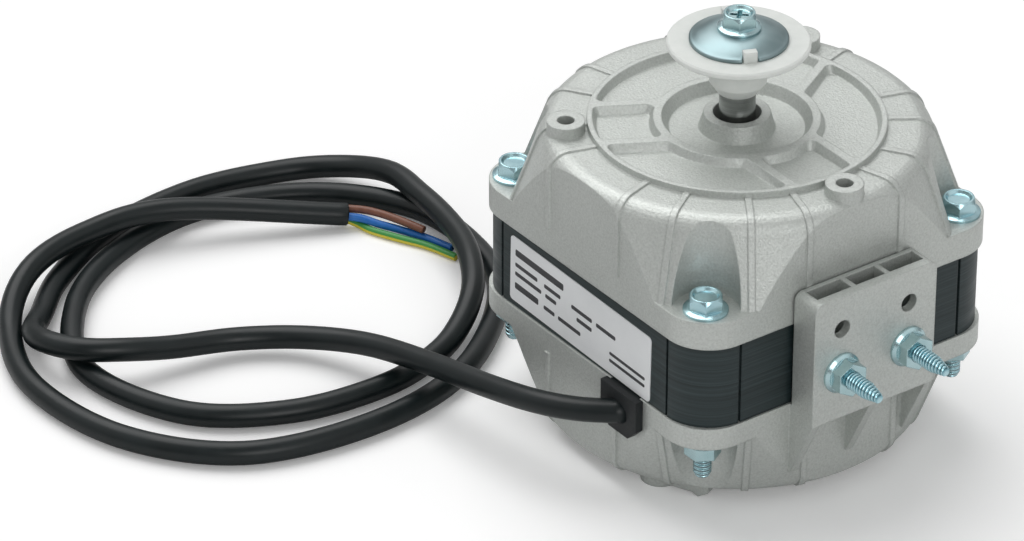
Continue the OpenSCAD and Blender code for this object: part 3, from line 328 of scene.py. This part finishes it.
# Mesh helpers
def new_object(name, verts, faces, material, smooth=True, uvs=None):
    mesh = bpy.data.meshes.new(name)
    mesh.from_pydata([tuple(v) for v in verts], [], faces)
    mesh.validate()
    if uvs:
        layer = mesh.uv_layers.new(name="tube")
        for loop in mesh.loops:
            layer.data[loop.index].uv = uvs[loop.vertex_index]
    for p in mesh.polygons:
        p.use_smooth = smooth
    mesh.materials.append(material)
    obj = bpy.data.objects.new(name, mesh)
    bpy.context.scene.collection.objects.link(obj)
    return obj


def neighbours(base, sides):
    """Pairs of corners next to each other round a ring that is numbered from base."""
    return [(base + k, base + (k + 1) % sides) for k in range(sides)]


def skin(base, rings, sides, flipped=False):
    """Faces between rings that follow each other and are numbered from base."""
    faces = []
    for i in range(rings - 1):
        for a, b in neighbours(base + i * sides, sides):
            faces.append((a, b, b + sides, a + sides) if flipped
                         else (a, a + sides, b + sides, b))
    return faces


def cap(base, sides, flipped=False):
    """One face over a ring that is numbered from base."""
    ring = range(base, base + sides)
    return tuple(reversed(ring)) if flipped else tuple(ring)


def point_on(route, t):
    """Point on the Catmull-Rom curve through the route's points, t counted in points."""
    n = len(route)
    i = min(int(t), n - 2)
    u = t - i
    b, c = Vector(route[i]), Vector(route[i + 1])
    a = Vector(route[i - 1]) if i else 2 * b - c
    d = Vector(route[i + 2]) if i + 2 < n else 2 * c - b
    return 0.5 * (2 * b + (c - a) * u + (2 * a - 5 * b + 4 * c - d) * u * u
                  + (3 * b - a - 3 * c + d) * u ** 3)


def centreline(route, spacing):
    """Points at even spacing along the smooth curve, in metres."""
    fine_steps, fewest = 6000, 8
    fine = [point_on(route, (len(route) - 1) * k / fine_steps) for k in range(fine_steps + 1)]
    length = sum((q - p).length for p, q in zip(fine, fine[1:]))
    count = max(fewest, round(length / spacing))
    out, walked, k = [fine[0]], 0.0, 1
    for p, q in zip(fine, fine[1:]):
        walked += (q - p).length
        if walked >= length * k / count and k < count:
            out.append(q)
            k += 1
    out.append(fine[-1])
    return [p * MM for p in out], length * MM


def tube(name, route, diameter, sides, spacing, material, cut_round):
    """Round tube along a route, without twist, with its far end's edge rounded."""
    line, length = centreline(route, spacing)
    radius = diameter * MM / 2
    count = len(line)
    side = None
    rings = []
    for i, p in enumerate(line):
        f = (line[min(i + 1, count - 1)] - line[max(i - 1, 0)]).normalized()
        if side is None:
            side = f.cross(Vector((0, 0, 1))).normalized()
        side = (side - f * side.dot(f)).normalized()
        rings.append((p, side.copy(), f.cross(side), radius, i * spacing))
    p, s, w, r, at = rings.pop()
    f = (line[-1] - line[-2]).normalized()
    rings.append((p - f * cut_round * MM, s, w, r, at))
    for degrees in (30, 60, 90):
        a = math.radians(degrees)
        rings.append((p - f * cut_round * MM * (1 - math.sin(a)), s, w,
                      r - cut_round * MM * (1 - math.cos(a)), at))
    verts, uvs = [], []
    for p, s, w, r, at in rings:
        for k in range(sides):
            a = 2 * math.pi * k / sides
            verts.append(p + r * (math.cos(a) * s + math.sin(a) * w))
            uvs.append((k / sides, at / (math.pi * diameter)))
    faces = skin(0, len(rings), sides)
    faces.append(cap(0, sides))
    faces.append(cap(len(verts) - sides, sides, flipped=True))
    return new_object(name, verts, faces, material, uvs=uvs), line, length


# The free cable and its three cores, along the same points as their solids
sheath_d, sheath_sides, sheath_spacing, sheath_cut = 5.4, 24, 2.4, 0.35
core_d, core_sides, core_spacing, core_cut = 1.9, 16, 0.8, 0.12
cable_route = [
    (17, -41.5, 21.8), (9, -48.6, 20.9), (-1, -53, 19.4), (-16, -55, 16.3),
    (-36, -56, 12), (-56, -59, 8), (-71, -66.5, 5), (-80, -78.5, 4.4),
    (-83.8, -93.5, 5.8), (-86.3, -104.3, 7.8), (-90.8, -112.4, 8.5), (-98.5, -116.7, 8),
    (-107, -115.6, 6), (-116.5, -107.7, 3.2), (-127.8, -96, 2.8), (-139, -76, 2.8),
    (-143, -50, 2.8), (-138.5, -27.5, 2.8), (-129.3, -15.8, 4.5), (-115.5, -11.7, 8),
    (-102, -12.6, 8.8), (-91, -13.8, 8.8), (-80, -16.4, 8.8), (-70.5, -20.6, 8.5),
    (-62.5, -26, 7), (-56.5, -33.5, 4.2), (-51, -44, 2.8), (-46.8, -61, 2.8),
    (-50, -84, 2.8), (-64, -104, 2.8), (-91, -112, 2.8), (-115, -99.5, 2.8),
    (-129.5, -79.5, 2.8), (-135, -54, 2.8), (-126.3, -28.5, 2.8), (-108.2, -12.3, 2.8),
    (-86.6, -9.8, 2.8), (-64, -17.5, 2.8), (-42.5, -42, 2.8), (-35.5, -70, 2.8),
    (-41.5, -101, 2.8), (-63, -120, 2.8), (-92, -125, 2.8), (-115, -117, 3.4),
    (-127, -104.5, 8), (-133, -86, 8.6), (-130.5, -63, 8.5), (-112, -26.5, 3.4)]
core_routes = {
    "core_brown": (brown, [(-113.4, -26.7, 4.4), (-110.2, -23.2, 4.3), (-106.4, -20.6, 4.1),
                           (-101.4, -18.2, 3.7), (-96, -15.9, 3.2)]),
    "core_blue": (blue, [(-111.4, -27.5, 3.5), (-109, -24.5, 3), (-105.6, -21.9, 2.2),
                         (-101.8, -19, 1.6), (-95.4, -15.6, 1.2), (-88.4, -13.3, 1)]),
    "core_earth": (earth, [(-113, -27.3, 2.3), (-110, -24.9, 1.2), (-105.8, -23.8, 1),
                           (-99.1, -20.6, 1), (-92.5, -17.2, 1), (-84.6, -14.8, 1)])}
flex, flex_line, flex_length = tube("flex_sheath", cable_route, sheath_d, sheath_sides,
                                    sheath_spacing, sheath, sheath_cut)
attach(flex, "housing")
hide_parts("cable_sheath")
for node_name, (tint, route) in core_routes.items():
    piece, _, _ = tube("flex_" + node_name, route, core_d, core_sides, core_spacing, tint, core_cut)
    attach(piece, "housing")
    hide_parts(node_name)


# Bracket screws with a real thread and pointed tips, in place of their plain solids
def threaded_screw(name, at_y):
    axis_z = 36.45
    seat_x, straight_x, tip_x = 47.1, 58.3, 62.3
    pitch, crest_r, root_r = 0.85, 2.0, 1.5
    flank_slope, root_width = 1.5, 0.25
    tip_taper = 0.45
    sides, rows_per_pitch = 28, 10
    flange = [(seat_x, 3.6), (46.3, 3.6), (46.2, 3.2)]
    hex_r = 3.84
    hexagon = [(46.3, hex_r), (44.7, hex_r), (44.5, 0.93 * hex_r)]
    head_shade = 0.9

    def corner(x, r, a):
        return x * MM, (at_y + r * math.cos(a)) * MM, (axis_z + r * math.sin(a)) * MM

    # Threaded shank, with each corner's height above the root kept for the material, which paints
    # shade into the roots
    rows = round((tip_x - seat_x) / pitch * rows_per_pitch)
    verts, painted_shade_uvs = [], []
    for i in range(rows + 1):
        x = seat_x + (tip_x - seat_x) * i / rows
        taper = 1 - tip_taper * max(0, x - straight_x) / (tip_x - straight_x)
        for k in range(sides):
            phase = ((x / pitch) - k / sides) % 1.0
            wave = 1 - abs(2 * phase - 1)
            crest = min(1, max(0, flank_slope * wave - root_width))
            r = (root_r + (crest_r - root_r) * crest) * taper
            painted_shade_uvs.append((crest, 0))
            verts.append(corner(x, r, 2 * math.pi * k / sides))
    faces = skin(0, rows + 1, sides, flipped=True)
    tip = len(verts)
    verts.append(corner(tip_x, 0, 0))
    faces += [(a, b, tip) for a, b in neighbours(rows * sides, sides)]

    # Head inside the bracket's pocket
    base = len(verts)
    verts += [corner(x, r, 2 * math.pi * k / sides) for x, r in flange for k in range(sides)]
    faces += skin(base, len(flange), sides)
    faces.append(cap(len(verts) - sides, sides, flipped=True))
    faces.append(cap(base, sides))
    base = len(verts)
    verts += [corner(x, r, math.radians(60 * k + 90)) for x, r in hexagon for k in range(6)]
    faces += skin(base, len(hexagon), 6)
    faces.append(cap(len(verts) - 6, 6, flipped=True))
    # The head takes one fixed level near the light end of the painted shade
    painted_shade_uvs += [(head_shade, 0)] * (len(verts) - len(painted_shade_uvs))

    obj = new_object(name, verts, faces, thread_zinc_painted_shade, smooth=False, uvs=painted_shade_uvs)
    for p in obj.data.polygons:
        p.use_smooth = p.index < rows * sides
    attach(obj, "housing")
    return obj


screws = [threaded_screw("bracket_screw_left", -9.1), threaded_screw("bracket_screw_right", 9.1)]
for s in screws:
    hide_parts("bracket_screws")


# Domed washer with a smooth crown and the two notches for the adapter's keys
def crowned_washer():
    base_z, rise, thick = 92.35, 2.0, 0.8
    hole_r, flat_r, rim_r, rim_flat = 2.0, 4.9, 10.8, 0.5
    crown_power, rim_round = 1.7, 0.12
    notch_r, notch_half = 8.8, 0.165
    notches = [math.radians(a) for a in (-24, 156)]
    columns, steps = 180, 22

    def height(r):
        u = min(1, max(0, (r - flat_r) / (rim_r - rim_flat - flat_r)))
        return rise * (1 - u ** crown_power)

    def edge(a):
        for n in notches:
            d = abs((a - n + math.pi) % (2 * math.pi) - math.pi)
            if d < notch_half:
                return notch_r / math.cos(d)
        return rim_r

    verts = []
    for top in (True, False):
        for c in range(columns):
            a = 2 * math.pi * c / columns + notches[0]
            for i in range(steps + 1):
                u = i / steps
                r = hole_r + (edge(a) - hole_r) * u
                z = base_z + height(r) + (thick if top else 0)
                if top and i == steps:
                    z -= rim_round
                verts.append((r * math.cos(a) * MM, r * math.sin(a) * MM, z * MM))

    # Upper and lower face between two columns, then the rim and the hole's wall
    faces = []
    row = steps + 1
    under = columns * row
    for c in range(columns):
        here, there = c * row, (c + 1) % columns * row
        for i in range(steps):
            a, b = here + i, there + i
            faces.append((a, a + 1, b + 1, b))
            faces.append((under + a, under + b, under + b + 1, under + a + 1))
        a, b = here + steps, there + steps
        faces.append((a, under + a, under + b, b))
        faces.append((here, there, under + there, under + here))
    obj = new_object("crowned_washer", verts, faces, washer_zinc)
    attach(obj, "rotor")
    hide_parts("domed_washer")


crowned_washer()


# Plain bars on the label, where a real one carries print
def label_bars():
    tilt = math.radians(1.3)
    centre = Vector((-1.2, -41.2, 36.25))
    half_length, half_height = 25.5, 8.2
    corner_r, corner_steps, proud = 0.35, 4, 0.02
    across = Vector((math.cos(tilt), 0, -math.sin(tilt)))
    upward = Vector((math.sin(tilt), 0, math.cos(tilt)))
    # Left, right, top and bottom of each bar, from the label's upper left corner
    bars = [(1.8, 19.5, 2.9, 4.6), (1.8, 10.0, 6.3, 7.3), (12.5, 18.5, 6.3, 7.3),
            (22.5, 30.0, 6.3, 7.3), (31.5, 38.5, 6.3, 7.3), (1.8, 11.5, 8.6, 9.6),
            (13.0, 17.0, 8.6, 9.6), (24.5, 30.0, 8.6, 9.6), (1.8, 10.5, 11.4, 13.0),
            (12.5, 16.5, 11.8, 12.8), (17.8, 26.0, 11.8, 12.8), (36.5, 49.2, 10.9, 11.7),
            (36.5, 49.2, 12.7, 13.5)]
    verts, faces = [], []
    for left, right, top, bottom in bars:
        ring = []
        for cu, cv, start in ((right - corner_r, top + corner_r, 0),
                              (left + corner_r, top + corner_r, 90),
                              (left + corner_r, bottom - corner_r, 180),
                              (right - corner_r, bottom - corner_r, 270)):
            for k in range(corner_steps + 1):
                a = math.radians(start + 90 / corner_steps * k)
                u = cu + corner_r * math.cos(a) - half_length
                v = half_height - (cv - corner_r * math.sin(a))
                p = centre + across * u + upward * v
                ring.append((p.x * MM, (p.y - proud) * MM, p.z * MM))
        base, n = len(verts), len(ring)
        verts += ring
        verts += [(x, y + proud * MM, z) for x, y, z in ring]
        faces.append(cap(base, n))
        faces += skin(base, 2, n)
    obj = new_object("label_bars", verts, faces, print_grey, smooth=False)
    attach(obj, "housing")


label_bars()


# Floor, light and surroundings
def floor_white():
    """White floor that the camera sees a little lighter than the object does."""
    m = bpy.data.materials.new("floor_white")
    m.use_nodes = True
    t = m.node_tree
    t.nodes.clear()
    out = add(t, "ShaderNodeOutputMaterial")
    plain_floor = add(t, "ShaderNodeBsdfDiffuse", {"Color": (0.8, 0.8, 0.8, 1)})
    seen_floor = add(t, "ShaderNodeBsdfDiffuse", {"Color": (0.98, 0.98, 0.98, 1)})
    path = add(t, "ShaderNodeLightPath")
    glow = add(t, "ShaderNodeEmission", {"Color": (1, 1, 1, 1), "Strength": 0.12})
    total = add(t, "ShaderNodeAddShader", {0: seen_floor.outputs[0], 1: glow.outputs[0]})
    mix = add(t, "ShaderNodeMixShader", {0: path.outputs["Is Camera Ray"],
                                         1: plain_floor.outputs[0], 2: total.outputs[0]})
    t.links.new(mix.outputs[0], out.inputs["Surface"])
    return m


def floor():
    half = 12.0
    obj = new_object("floor", [(-half, -half, 0), (half, -half, 0), (half, half, 0),
                               (-half, half, 0)], [(0, 1, 2, 3)], floor_white(), smooth=False)


def world():
    w = bpy.data.worlds.new("studio")
    bpy.context.scene.world = w
    w.use_nodes = True
    t = w.node_tree
    t.nodes.clear()
    out = add(t, "ShaderNodeOutputWorld")
    path = add(t, "ShaderNodeLightPath")
    soft = add(t, "ShaderNodeBackground", {"Color": (1, 1, 1, 1), "Strength": 0.42})
    white = add(t, "ShaderNodeBackground", {"Color": (1, 1, 1, 1), "Strength": 1.0})
    # What the metal mirrors: lighter walls above, with brighter and darker parts all round
    where = add(t, "ShaderNodeTexCoord").outputs["Generated"]
    height = add(t, "ShaderNodeSeparateXYZ", {"Vector": where}).outputs["Z"]
    level = ramp(t, height, greys((0.0, 0.36), (0.2, 0.5), (0.42, 0.78), (0.75, 0.85),
                                  (1.0, 0.5)))
    around = add(t, "ShaderNodeTexGradient", {"Vector": where},
                 gradient_type="RADIAL").outputs["Fac"]
    boxes = ramp(t, around, greys((0.0, 0.5), (0.1, 1), (0.24, 1), (0.3, 0.5), (0.42, 0.4),
                                  (0.5, 1), (0.66, 1), (0.74, 0.55), (0.88, 0.95), (1.0, 0.5)))
    tint = add(t, "ShaderNodeVectorMath", {0: level, 1: boxes}, operation="MULTIPLY")
    studio = add(t, "ShaderNodeBackground", {"Color": tint.outputs[0], "Strength": 1.0})
    rest = add(t, "ShaderNodeMixShader", {0: path.outputs["Is Glossy Ray"], 1: soft.outputs[0],
                                          2: studio.outputs[0]})
    mix = add(t, "ShaderNodeMixShader", {0: path.outputs["Is Camera Ray"], 1: rest.outputs[0],
                                         2: white.outputs[0]})
    t.links.new(mix.outputs[0], out.inputs["Surface"])


def lamp(name, place, aim, size, power):
    data = bpy.data.lights.new(name, "AREA")
    data.shape = "DISK"
    data.size = size
    data.energy = power
    obj = bpy.data.objects.new(name, data)
    obj.location = place
    obj.rotation_euler = (Vector(aim) - Vector(place)).to_track_quat("-Z", "Y").to_euler()
    bpy.context.scene.collection.objects.link(obj)


floor()
world()
lamp("key", place=(-0.85, 0.05, 1.6), aim=(0, 0, 0.03), size=1.8, power=20.0)
lamp("fill", place=(1.5, -0.55, 0.75), aim=(0, 0, 0.04), size=0.9, power=6.0)

bpy.context.scene.view_settings.view_transform = "Standard"
